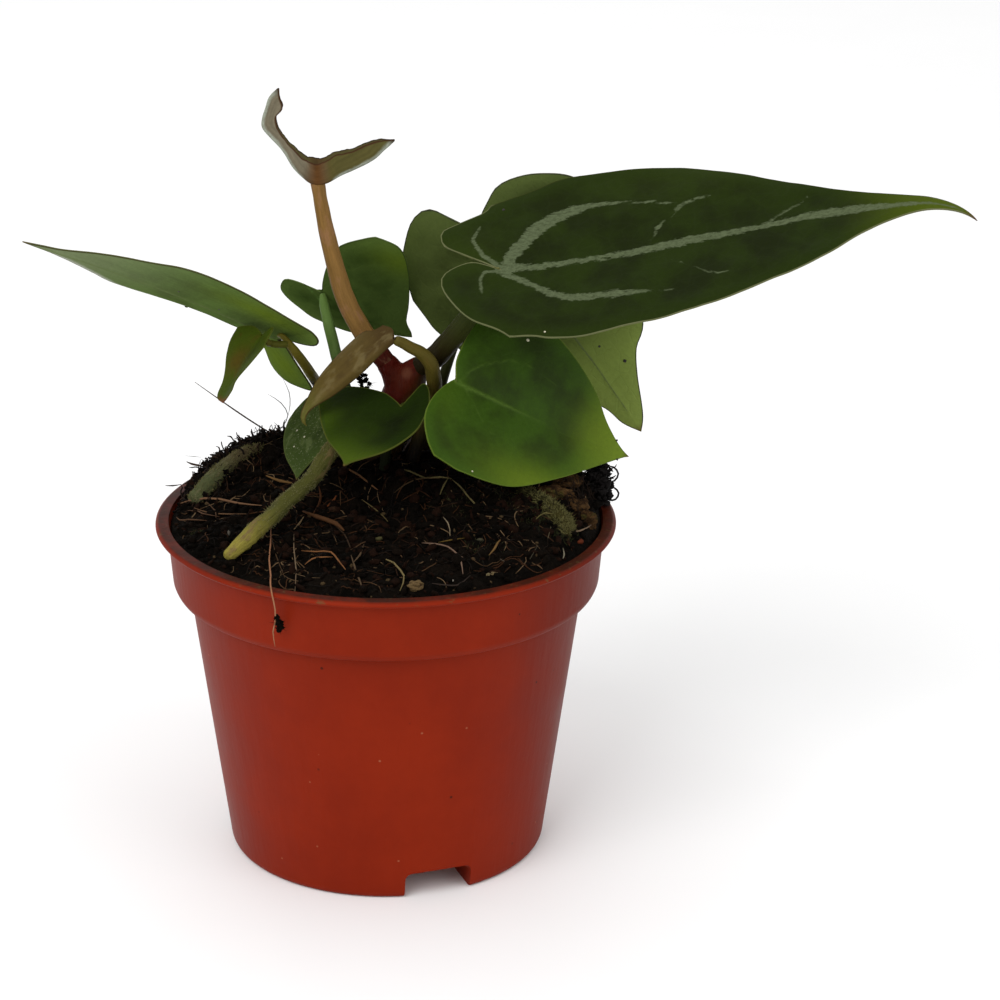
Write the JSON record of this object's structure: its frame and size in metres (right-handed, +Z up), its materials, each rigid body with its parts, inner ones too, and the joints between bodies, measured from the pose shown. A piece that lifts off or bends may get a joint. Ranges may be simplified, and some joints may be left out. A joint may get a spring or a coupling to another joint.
{
  "type": "potted anthurium",
  "caption": "Young potted foliage plant with long stalked heart-shaped leaves, aerial roots and soil in a round tapered nursery pot.",
  "frame": {"origin": "middle of the pot's flat underside, on the surface that the pot stands on", "axes": "+Z up; +X towards the tip of the largest leaf, to the right in the picture; -Y towards the pictured side"},
  "size_m": [0.2397, 0.12, 0.1936],
  "materials": {
    "pot_plastic": "satin",
    "soil_mix": "matte",
    "crown_red": "satin",
    "leaf_velvet_dark": "matte",
    "leaf_underside": "matte",
    "leaf_bright": "satin",
    "leaf_olive": "satin",
    "leaf_mid_green": "satin",
    "leaf_dark_green": "satin",
    "leaf_grey_green": "matte",
    "leaf_aged_olive": "satin",
    "leaf_young_brown": "satin",
    "leaf_unfurling_tan": "satin",
    "stalk_dark_olive": "satin",
    "stalk_green": "satin",
    "stalk_yellow_olive": "satin",
    "stalk_tan": "satin",
    "root_live": "matte",
    "root_grey": "matte",
    "root_mossy": "matte",
    "bark_dark": "matte",
    "chip_pale": "matte",
    "sheath_dry": "matte"
  },
  "bodies": {
    "root": {"pot": "pot_plastic", "soil": "soil_mix", "crown": "crown_red", "leaf_large_veined": "leaf_velvet_dark", "leaf_back_broad": "leaf_underside", "leaf_front_heart": "leaf_bright", "leaf_left_long": "leaf_olive", "leaf_middle_heart": "leaf_mid_green", "leaf_low_heart": "leaf_dark_green", "leaf_low_back": "leaf_grey_green", "leaf_small_curled": "leaf_aged_olive", "leaf_rolled_brown": "leaf_young_brown", "leaf_top_unfurling": "leaf_unfurling_tan", "stalk_large_veined": "stalk_dark_olive", "stalk_back_broad": "stalk_dark_olive", "stalk_front_heart": "stalk_green", "stalk_left_long": "stalk_yellow_olive", "stalk_middle_heart": "stalk_green", "stalk_low_heart": "stalk_green", "stalk_low_back": "stalk_green", "stalk_small_curled": "stalk_yellow_olive", "stalk_rolled_brown": "stalk_yellow_olive", "stalk_top_unfurling": "stalk_tan", "root_front": "root_live", "root_left": "root_grey", "root_right_mossy": "root_mossy", "bark_right": "bark_dark", "bark_far_right": "bark_dark", "chip_front": "chip_pale", "sheath_dry": "sheath_dry"}
  },
  "joints": []
}
